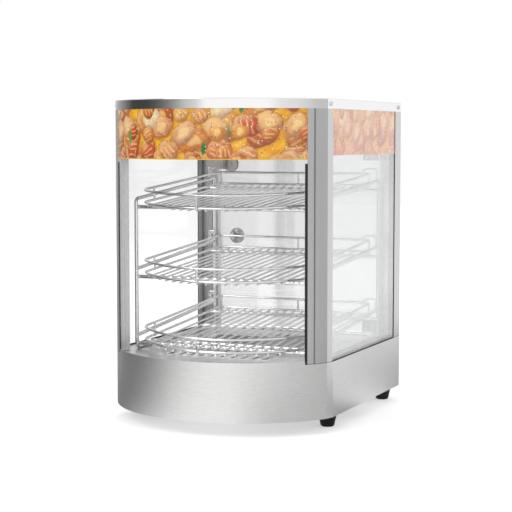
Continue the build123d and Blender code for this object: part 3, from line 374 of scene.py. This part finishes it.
# Panes. Clear float glass, bowed at the front and flat at the sides and in the door. It
# mirrors the room faintly, more at a glancing angle, and its ground edges look green.
def pane(name, sheen, veil, tint, edge_axis, solid_edge, bands=None):
    """Clear glass: a faint mirror over a clear view, with solid edges across an axis."""
    material = bpy.data.materials.new(name)
    material.use_nodes = True
    tree = material.node_tree
    skin = tree.nodes["Principled BSDF"]
    start = Wire(tree)
    skin.inputs["Metallic"].default_value = 1.0
    place = start.node("TexCoord", output=3)
    wide = start.node("Mapping", None, {0: place, 3: (30.0, 30.0, 3.0)})
    streaks = start.node("TexNoise", None, {0: wide, 2: 1.0, 3: 4.0})
    smears = start.node("TexNoise", None, {0: place, 2: 18.0, 3: 4.0})
    rough = 0.015 + smears.step(0.45, 0.85) * 0.06
    tree.links.new(rough.socket, skin.inputs["Roughness"])
    facing = start.node("LayerWeight", output=1)
    mirror = 0.04 + (facing ** 5.0) * 0.96
    cover = (mirror * sheen + veil) * (0.72 + streaks * 0.56)
    if bands:
        across_pane = start.node("SeparateXYZ", None, {0: place}) / 0.3 + 0.5
        stops = [(x / 0.3 + 0.5, grey(level)[:3]) for x, level in bands]
        cover = cover + start.node("ValToRGB", {"stops": stops}, {0: across_pane})
    normal = start.node("SeparateXYZ", None, {0: start.node("TexCoord", output=1)})
    across = start.maths("ABSOLUTE", normal.other(edge_axis))
    edge = across.step(0.55, 0.75)
    if edge_axis == "X":
        edge = 1.0 - edge
    clear = start.maths("MINIMUM", start.maths("MAXIMUM", cover, 0.0), 0.95)
    alpha = clear + edge * (solid_edge - clear)
    tree.links.new(alpha.socket, skin.inputs["Alpha"])
    tree.links.new(start.mix(edge, (*tint, 1), (0.50, 0.66, 0.60, 1)).socket,
                   skin.inputs["Base Color"])
    return material


wear(pane("front_pane_glass", 0.55, 0.0, (0.96, 0.98, 0.97), "Z", 0.72), "front_glass")
wear(pane("left_pane_glass", 0.9, 0.0, (0.97, 0.99, 0.98), "X", 0.3), "left_glass")
wear(pane("right_pane_glass", 2.2, 0.05, (0.98, 0.99, 0.99), "X", 0.3), "right_glass")
# Upright bands across the door pane where its grey mirror covers more of the view: the place
# across the pane, and how much more it covers.
door_grey_bands = (
    (-0.150, 0.16), (-0.084, 0.15), (-0.072, 0.09), (-0.050, 0.09), (-0.040, 0.24),
    (-0.032, 0.23), (-0.024, 0.17), (-0.016, 0.16), (-0.004, 0.11), (0.150, 0.12),
)
wear(pane("door_pane_glass", 0.9, 0.07, (0.50, 0.51, 0.51), "Z", 0.72, door_grey_bands), "door_glass")


# Printed films. Thin self-adhesive film on the outside of the panes, under the cap. The
# design is made up for this case: rolls, slices, leaves and seeds on a golden ground.
def motifs(start, plane, size, seed):
    """Scattered motifs: how far out in each, along and across it, its chances, its light."""
    moved = start.node("Mapping", None, {0: plane, 1: (seed, seed * 0.37, 0), 3: (1 / size,) * 3})
    ruffle = start.node("TexNoise", None, {0: moved, 2: 2.6, 3: 2.0}, output=1)
    ruffle = start.node("VectorMath", {"operation": "SUBTRACT"}, {0: ruffle, 1: (0.5, 0.5, 0.5)})
    ruffle = start.node("VectorMath", {"operation": "SCALE"}, {0: ruffle, "Scale": 0.26})
    bent = start.node("VectorMath", {"operation": "ADD"}, {0: moved, 1: ruffle})
    flat = start.node("VectorMath", {"operation": "MULTIPLY"}, {0: bent, 1: (1, 1, 0)})
    cell = start.node("TexVoronoi", {"voronoi_dimensions": "2D"},
                      {0: flat, "Scale": 1.0, "Randomness": 0.7})
    away = start.node("VectorMath", {"operation": "SUBTRACT"},
                      {0: flat, 1: cell.other("Position")})
    offset = start.node("SeparateXYZ", None, {0: away})
    chance = start.node("SeparateXYZ", None, {0: cell.other("Color")})
    lean = chance.other("Z") * 2.4 - 0.5
    along = offset * start.maths("COSINE", lean) + offset.other("Y") * start.maths("SINE", lean)
    across = offset.other("Y") * start.maths("COSINE", lean) - offset * start.maths("SINE", lean)
    oval = 0.80 + chance.other("Y") * 0.15
    away_out = start.maths("SQRT", (along * oval) ** 2.0 + (across / oval) ** 2.0)
    sunny = (offset.other("Y") - offset * 0.55) * 1.1 + 0.5
    return away_out, along, across, chance, sunny


def print_design(name, on_bow, veil):
    """Printed film. on_bow is the radius and the centre of the bow that it lies on, and
    veil is how much of a pale painted reflection is laid over the print."""
    material = bpy.data.materials.new(name)
    material.use_nodes = True
    tree = material.node_tree
    skin = tree.nodes["Principled BSDF"]
    start = Wire(tree)
    place = start.node("SeparateXYZ", None, {0: start.node("TexCoord", output=3)})
    along = place.other("Y")
    if on_bow:
        radius, centre_y = on_bow
        along = start.maths("ARCTAN2", place, centre_y - along) * radius
    high = place.other("Z")
    plane = start.node("CombineXYZ", None, {0: along, 1: high, 2: 0.0})
    grain = start.node("TexNoise", None, {0: plane, 2: 420.0, 3: 5.0, 4: 0.7})
    wash = start.node("TexNoise", None, {0: plane, 2: 60.0, 3: 4.0})

    paint = start.mix(wash.step(0.35, 0.65), (0.74, 0.32, 0.012, 1), (0.84, 0.45, 0.030, 1))
    rolls = (
        (0.0, (0.40, 0.070, 0.014)), (0.22, (0.60, 0.15, 0.022)), (0.40, (0.74, 0.33, 0.06)),
        (0.55, (0.50, 0.060, 0.016)), (0.70, (0.78, 0.46, 0.14)), (0.86, (0.60, 0.18, 0.03)),
    )
    slices = (
        (0.0, (0.84, 0.64, 0.32)), (0.30, (0.60, 0.10, 0.03)), (0.48, (0.80, 0.50, 0.20)),
        (0.66, (0.55, 0.055, 0.018)), (0.82, (0.86, 0.70, 0.44)),
    )
    for size, spread, seed, kept, palette in (
        (0.050, 0.52, 3.1, 0.0, rolls), (0.041, 0.44, 8.3, 0.12, slices),
        (0.033, 0.38, 4.9, 0.45, rolls),
    ):
        out, lengthwise, crosswise, chance, sunny = motifs(start, plane, size, seed)
        depth = out / spread
        there = chance.other("Y").step(kept, kept + 0.01)
        inside = (1.0 - depth.step(0.96, 1.02)) * there
        shaded = start.maths("ABSOLUTE", crosswise) / spread
        body = start.node("ValToRGB", {"stops": palette}, {0: chance})
        pale = start.mix(0.62, body, (0.93, 0.70, 0.30, 1))
        dark = start.mix(0.55, body, (0.20, 0.035, 0.010, 1))
        cuts = start.maths("SINE", lengthwise * 30.0 + crosswise * 9.0 + grain * 3.0)
        cuts = cuts.step(0.25, 0.75) * (1.0 - shaded.step(0.40, 0.62)) * chance.step(0.50, 0.52)
        heart = (1.0 - depth.step(0.38, 0.52)) * (1.0 - chance.step(0.46, 0.48))
        body = start.mix(wash.step(0.50, 0.62) * 0.45, body, dark)
        body = start.mix(start.maths("MAXIMUM", cuts, heart) * 0.85, body, pale)
        body = start.mix(depth.step(0.60, 1.0) * 0.60, body, dark)
        body = start.mix(grain.step(0.53, 0.66) * 0.50, body, dark)
        body = start.mix(sunny.step(0.55, 1.0) * 0.45, body, (0.96, 0.66, 0.30, 1))
        body = start.mix((1.0 - sunny.step(0.10, 0.52)) * 0.45, body, (0.20, 0.035, 0.012, 1))
        shadow = (1.0 - depth.step(0.95, 1.25)) * there
        paint = start.mix(shadow * (1.0 - inside) * 0.55, paint, (0.36, 0.12, 0.012, 1))
        paint = start.mix(inside, paint, body)

    turned = start.node("Mapping", None, {0: plane, 2: (0, 0, radians(52)), 3: (62.0, 24.0, 1.0)})
    wavy = start.node("TexNoise", None, {0: plane, 2: 150.0, 3: 2.0}, output=1)
    wavy = start.node("VectorMath", {"operation": "SCALE"}, {0: wavy, "Scale": 0.35})
    turned = start.node("VectorMath", {"operation": "ADD"}, {0: turned, 1: wavy})
    leaf = start.node("TexVoronoi", {"voronoi_dimensions": "2D"}, {0: turned, "Scale": 1.0})
    rare = start.node("SeparateXYZ", None, {0: leaf.other("Color")})
    leafy = (1.0 - leaf.step(0.22, 0.28)) * rare.step(0.90, 0.91)
    green = start.mix(wash.step(0.4, 0.6), (0.025, 0.12, 0.015, 1), (0.12, 0.30, 0.05, 1))
    paint = start.mix(leafy, paint, green)
    dots = start.node("TexVoronoi", {"voronoi_dimensions": "2D"}, {0: plane, "Scale": 190.0})
    some = start.node("SeparateXYZ", None, {0: dots.other("Color")})
    seeds = (1.0 - dots.step(0.14, 0.22)) * some.step(0.80, 0.84)
    paint = start.mix(seeds * 0.8, paint, (0.10, 0.025, 0.015, 1))
    crumbs = (1.0 - dots.step(0.14, 0.22)) * (1.0 - some.step(0.10, 0.14))
    paint = start.mix(crumbs * 0.7, paint, (0.96, 0.84, 0.60, 1))
    gold_edge = 1.0 - high.step(film_foot, film_foot + 0.0005)
    paint = start.mix(gold_edge * (1.0 if on_bow else 0.0), paint, (0.70, 0.42, 0.03, 1))
    # Painted reflection: the print is washed towards a pale pink by veil, for the white that the
    # film's glossy face mirrors at a glancing angle.
    paint = start.mix(veil, paint, (0.80, 0.46, 0.40, 1))
    tree.links.new(paint.socket, skin.inputs["Base Color"])
    rough = 0.20 + (wash - 0.5) * 0.12
    tree.links.new(rough.socket, skin.inputs["Roughness"])
    skin.inputs["Coat Weight"].default_value = 0.8 if veil else 0.25
    skin.inputs["Coat Roughness"].default_value = 0.08
    return material


film_foot = 0.4157
glass_centre_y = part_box("front_glass")[0].y + glass_radius
wear(print_design("front_film_print", (glass_radius, glass_centre_y), 0.0), "front_film")
wear(print_design("side_film_print", None, 0.36), "side_films")

# Cap. Bright polished sheet, pressed with a soft edge, that drops over the posts and is
# held by a pan-head screw at each corner.
polished = steel("polished_steel", (0.94, 0.94, 0.94), 0.12, 1500.0, "xy", 0.06, 0.03, 0.3)
wear(polished, "top_cap")
bright_screw = steel("bright_screw", (0.80, 0.80, 0.80), 0.12, 900.0, "xyz", 0.05, contrast=0.3)
wear(bright_screw, "foot_screws", "hinge_pins", "door_knob_bolt")


def select_faces(piece, test):
    """Select the faces that pass a test, and go into edit mode."""
    bpy.ops.object.mode_set(mode="EDIT")
    bpy.ops.mesh.select_mode(type="FACE")
    bpy.ops.mesh.select_all(action="DESELECT")
    bpy.ops.object.mode_set(mode="OBJECT")
    for face in piece.data.polygons:
        face.select = test(face)
    bpy.ops.object.mode_set(mode="EDIT")


def settle(piece, place, facing):
    """Turn a piece that was made along +Z towards a direction, and put it in its place."""
    turn = Vector(facing).to_track_quat("Z", "Y").to_matrix().to_4x4()
    piece.matrix_world = Matrix.Translation(place) @ turn
    bpy.ops.object.select_all(action="DESELECT")
    bpy.context.view_layer.objects.active = piece
    piece.select_set(True)
    bpy.ops.object.transform_apply(location=True, rotation=True, scale=True)
    piece.select_set(False)


def screw_head(name, radius, height):
    """Pan head with a cross recess, standing on the origin and facing +Z."""
    bpy.ops.object.select_all(action="DESELECT")
    bpy.ops.mesh.primitive_cylinder_add(vertices=36, radius=radius, depth=height,
                                        location=(0, 0, height / 2))
    head = bpy.context.object
    head.name = name
    bpy.ops.object.transform_apply(location=True)
    select_faces(head, lambda face: face.normal.z > 0.9)
    bpy.ops.mesh.region_to_loop()
    bpy.ops.mesh.bevel(offset=height * 0.75, segments=4, profile=0.6, clamp_overlap=True)
    bpy.ops.object.mode_set(mode="OBJECT")
    arm = radius * 1.15
    slot = radius * 0.30
    depth = height * 0.62
    for turn in (0, pi / 2):
        bpy.ops.mesh.primitive_cube_add(size=1, location=(0, 0, height))
        blade = bpy.context.object
        blade.scale = (arm, slot, depth * 2)
        blade.rotation_euler = (0, 0, turn)
        bpy.ops.object.transform_apply(location=True, rotation=True, scale=True)
        bpy.context.view_layer.objects.active = head
        cut = head.modifiers.new("recess", "BOOLEAN")
        cut.operation = "DIFFERENCE"
        cut.object = blade
        bpy.ops.object.modifier_apply(modifier="recess")
        bpy.data.objects.remove(blade)
    bpy.ops.object.select_all(action="DESELECT")
    head.select_set(True)
    bpy.context.view_layer.objects.active = head
    bpy.ops.object.shade_smooth_by_angle(angle=radians(35))
    head.data.materials.append(bright_screw)
    return head


def fix_screws(name, node, radius, height, seats, body):
    """One modelled head, copied to each seat: its place and the way that it faces."""
    pattern = screw_head(name, radius, height)
    for count, (place, facing) in enumerate(seats):
        copy = pattern.copy()
        copy.data = pattern.data.copy()
        copy.name = f"{name}_{count + 1}"
        bpy.context.scene.collection.objects.link(copy)
        settle(copy, place, facing)
        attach(copy, body)
        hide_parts(node)
    bpy.data.objects.remove(pattern)


cap_head = 0.0020
side_x = cad_box[1].x - cap_head
rear_y = 0.1945
corner_x, corner_y = 0.18305, -0.11756
corner_facing_x, corner_facing_y = 0.970, -0.244
cap_screw_low, cap_screw_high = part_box("cap_screws")
cap_screw_z = (cap_screw_low.z + cap_screw_high.z) / 2
cap_seats = []
for side in (-1, 1):
    cap_seats.append(((side * corner_x, corner_y, cap_screw_z),
                      (side * corner_facing_x, corner_facing_y, 0)))
    cap_seats.append(((side * side_x, rear_y, cap_screw_z), (side, 0, 0)))
fix_screws("cap_screw", "cap_screws", 0.0036, cap_head, cap_seats, "case")

# Wire rack and basket shelves. Steel rod, bent and spot-welded, then bright plated. The
# baskets hang tilted on the rack's bars.
chrome = steel("chrome_wire", (0.93, 0.93, 0.935), 0.11, 300.0, "y", 0.04, 0.06, 0.4)
for shelf in ("upper", "middle", "lower"):
    wear(chrome, f"shelf_{shelf}_grid", f"shelf_{shelf}_guard")
wear(chrome, "rack_left_frame", "rack_right_frame", "rack_cross_bars")

# Door fittings. Turned knob, satin clamps, brackets and striker plate, and the magnet's
# grey plastic case; the clamps grip the pane with two screws each.
turned_steel = steel("turned_steel", (0.80, 0.80, 0.80), 0.24, 900.0, "xz", 0.05, contrast=0.4)
wear(turned_steel, "door_knob")
fitting_steel = steel("fitting_steel", (0.62, 0.62, 0.62), 0.30, 900.0, "x", 0.08, contrast=0.5)
wear(fitting_steel, "door_hinge_clamps", "hinge_brackets", "catch_striker")
wear(moulded("catch_grey", (0.62, 0.62, 0.60), 0.45, 1100.0, 0.2), "catch_magnet")
clamp_head, clamp_head_height, clamp_pitch = 0.0034, 0.0016, 0.010
clamp_low, clamp_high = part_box("clamp_screws")
clamp_x = (clamp_low.x + clamp_high.x) / 2
clamp_seats = []
for inset in (clamp_head, clamp_head + clamp_pitch):
    for z in (clamp_low.z + inset, clamp_high.z - inset):
        clamp_seats.append(((clamp_x, clamp_low.y + clamp_head_height, z), (0, -1, 0)))
clamp_seats.sort(key=lambda seat: seat[0][2])
fix_screws("clamp_screw", "clamp_screws", clamp_head, clamp_head_height, clamp_seats, "door")
bracket_head, bracket_head_height = 0.0032, 0.0019
bracket_low, bracket_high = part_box("bracket_screws")
bracket_x = (bracket_low.x + bracket_high.x) / 2
bracket_y = bracket_low.y + bracket_head_height
bracket_seats = [((bracket_x, bracket_y, z), (0, -1, 0))
                 for z in (bracket_low.z + bracket_head, bracket_high.z - bracket_head)]
fix_screws("bracket_screw", "bracket_screws", bracket_head, bracket_head_height,
           bracket_seats, "case")

# Controls on the back panel. Black plastic knob, switches and inlet, with plain marks: a black
# scale of ticks and numbers for the heat, a white pointer, and the usual white signs for on and
# off.
black = moulded("black_plastic", (0.025, 0.025, 0.026), 0.38, 1400.0, 0.3)
wear(black, "thermostat_body", "power_switch_body", "lamp_switch_body", "power_inlet")
wear(moulded("rocker_red", (0.52, 0.03, 0.02), 0.22, 900.0, 0.05, 0.5), "power_switch_rocker")
wear(moulded("rocker_amber", (0.72, 0.30, 0.03), 0.22, 900.0, 0.05, 0.5), "lamp_switch_rocker")
wear(moulded("pilot_red", (0.60, 0.03, 0.02), 0.12, 900.0, 0.02, 0.8), "pilot_lamp")
wear(steel("plug_brass", (0.80, 0.62, 0.32), 0.25, 900.0, "y", 0.05), "inlet_pins")
mark_white = moulded("mark_white", (0.85, 0.85, 0.83), 0.5, 900.0, 0.05)
mark_black = moulded("mark_black", (0.02, 0.02, 0.02), 0.5, 900.0, 0.05)

panel_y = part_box("control_panel")[1].y
knob_low, knob_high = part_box("thermostat_knob")
knob_x = (knob_low.x + knob_high.x) / 2
knob_z = (knob_low.z + knob_high.z) / 2
knob_skirt = 0.021
knob_grip = 0.0155
skirt_height = 0.004
knob_height = knob_high.y - knob_low.y
grip_taper = 0.94
rim_width = 0.0012
face_sunk = 0.0006
flute = 0.93
bpy.ops.object.select_all(action="DESELECT")
bpy.ops.mesh.primitive_cylinder_add(vertices=72, radius=knob_skirt, depth=skirt_height,
                                    location=(0, 0, skirt_height / 2))
knob = bpy.context.object
knob.name = "heat_knob"
bpy.ops.object.transform_apply(location=True)
select_faces(knob, lambda face: face.normal.z > 0.9)
bpy.ops.mesh.inset(thickness=knob_skirt - knob_grip)
grip_rise = (0, 0, knob_height - skirt_height)
bpy.ops.mesh.extrude_region_move(TRANSFORM_OT_translate={"value": grip_rise})
bpy.ops.transform.resize(value=(grip_taper, grip_taper, 1))
bpy.ops.mesh.inset(thickness=rim_width)
bpy.ops.transform.translate(value=(0, 0, -face_sunk))
bpy.ops.mesh.select_mode(type="VERT")
bpy.ops.mesh.select_all(action="DESELECT")
bpy.ops.object.mode_set(mode="OBJECT")
for vertex in knob.data.vertices:
    on_grip = vertex.co.xy.length < knob_grip + 0.0005
    above_skirt = vertex.co.z > skirt_height - 0.0001
    turn = round(degrees(atan2(vertex.co.y, vertex.co.x)) / 5)
    vertex.select = on_grip and above_skirt and turn % 3 == 0
bpy.ops.object.mode_set(mode="EDIT")
bpy.ops.transform.resize(value=(flute, flute, 1))
bpy.ops.object.mode_set(mode="OBJECT")
soften = knob.modifiers.new("soften", "BEVEL")
soften.width = 0.0004
soften.segments = 2
soften.limit_method = "ANGLE"
bpy.ops.object.modifier_apply(modifier="soften")
bpy.ops.object.shade_smooth_by_angle(angle=radians(40))
knob.data.materials.append(black)
settle(knob, (knob_x, knob_low.y, knob_z), (0, 1, 0))
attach(knob, "thermostat_dial")
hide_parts("thermostat_knob")


ink_depth = 0.0002


def printed_bar(name, width, length, place, lean, material, body):
    """A thin printed line, upright before it leans about the axis that faces the back."""
    bpy.ops.object.select_all(action="DESELECT")
    bpy.ops.mesh.primitive_cube_add(size=1, location=(0, 0, 0))
    bar = bpy.context.object
    bar.name = name
    bar.scale = (width, ink_depth, length)
    bpy.ops.object.transform_apply(scale=True)
    bpy.ops.object.mode_set(mode="EDIT")
    bpy.ops.mesh.select_all(action="SELECT")
    bpy.ops.mesh.bevel(offset=0.00004, segments=1, clamp_overlap=True)
    bpy.ops.object.mode_set(mode="OBJECT")
    bar.matrix_world = Matrix.Translation(place) @ lean
    bpy.ops.object.transform_apply(location=True, rotation=True, scale=True)
    bar.data.materials.append(material)
    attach(bar, body)


printed_bar("heat_pointer", 0.0012, 0.008, (knob_x, knob_high.y - 0.0005, knob_z + 0.0085),
            Matrix.Identity(4), mark_white, "thermostat_dial")
scale_radius = 0.0245
numeral_radius = 0.0292
long_tick, short_tick = 0.0034, 0.0018
steps = 6
sweep = radians(300)
for count in range(2 * steps + 1):
    lean = Matrix.Rotation(sweep * count / (2 * steps), 4, "Y")
    length = long_tick if count % 2 == 0 else short_tick
    up = lean @ Vector((0, 0, scale_radius))
    printed_bar(f"heat_tick_{count}", 0.0006, length, (knob_x + up.x, panel_y, knob_z + up.z),
                lean, mark_black, "case")
for count in range(steps + 1):
    up = Matrix.Rotation(sweep * count / steps, 4, "Y") @ Vector((0, 0, numeral_radius))
    bpy.ops.object.select_all(action="DESELECT")
    bpy.ops.object.text_add(location=(0, 0, 0))
    numeral = bpy.context.object
    numeral.name = f"heat_numeral_{count}"
    numeral.data.body = str(count)
    numeral.data.size = 0.006
    numeral.data.extrude = ink_depth / 2
    numeral.data.align_x = "CENTER"
    numeral.data.align_y = "CENTER"
    bpy.ops.object.convert(target="MESH")
    numeral = bpy.context.object
    numeral.matrix_world = (Matrix.Translation((knob_x + up.x, panel_y, knob_z + up.z))
                            @ Matrix.Rotation(pi, 4, "Z") @ Matrix.Rotation(pi / 2, 4, "X"))
    bpy.ops.object.transform_apply(location=True, rotation=True, scale=True)
    numeral.data.materials.clear()
    numeral.data.materials.append(mark_black)
    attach(numeral, "case")

pivot_y = 0.2084
full_tip = radians(20)
on_sign_y, on_sign_z = pivot_y + 0.00518, 0.00559
off_sign_y, off_sign_z = pivot_y + 0.00303, -0.0058
for name, body in (("power_switch", "power_rocker"), ("lamp_switch", "lamp_rocker")):
    rocker_low, rocker_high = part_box(f"{name}_rocker")
    middle_x = (rocker_low.x + rocker_high.x) / 2
    middle_z = (rocker_low.z + rocker_high.z) / 2
    printed_bar(f"{name}_on_sign", 0.0009, 0.0045, (middle_x, on_sign_y, middle_z + on_sign_z),
                Matrix.Rotation(-full_tip, 4, "X"), mark_white, body)
    bpy.ops.object.select_all(action="DESELECT")
    bpy.ops.mesh.primitive_torus_add(major_radius=0.0016, minor_radius=0.00042,
                                     major_segments=32, minor_segments=8)
    ring = bpy.context.object
    ring.name = f"{name}_off_sign"
    bpy.ops.object.mode_set(mode="EDIT")
    bpy.ops.mesh.select_all(action="SELECT")
    bpy.ops.transform.resize(value=(1, 1, 0.25))
    bpy.ops.object.mode_set(mode="OBJECT")
    bpy.ops.object.shade_smooth()
    settle(ring, (middle_x, off_sign_y, middle_z + off_sign_z), (0, 1, 0))
    ring.data.materials.append(mark_white)
    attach(ring, body)

panel_head = 0.0018
inlet_face_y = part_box("panel_screws")[1].y - panel_head
inlet_z = 0.064
panel_seats = [((x, panel_y, z), (0, 1, 0)) for x in (-0.174, 0.174) for z in (0.034, 0.096)]
panel_seats += [((x, inlet_face_y, inlet_z), (0, 1, 0)) for x in (-0.135, -0.095)]
fix_screws("panel_screw", "panel_screws", 0.0029, panel_head, panel_seats, "case")

# Inside. The heater's rod is dulled by its own heat, the lamp's tube is frosted, and its
# holders and the terminal block are glazed ceramic.
wear(steel("burnt_steel", (0.26, 0.24, 0.23), 0.42, 600.0, "x", 0.2), "heater_element")
ceramic = moulded("ceramic_white", (0.82, 0.80, 0.74), 0.5, 700.0, 0.3)
wear(ceramic, "terminal_block", "lamp_holders")
wear(moulded("lamp_frosted", (0.90, 0.88, 0.82), 0.25, 500.0, 0.05, 0.3), "lamp_tube")
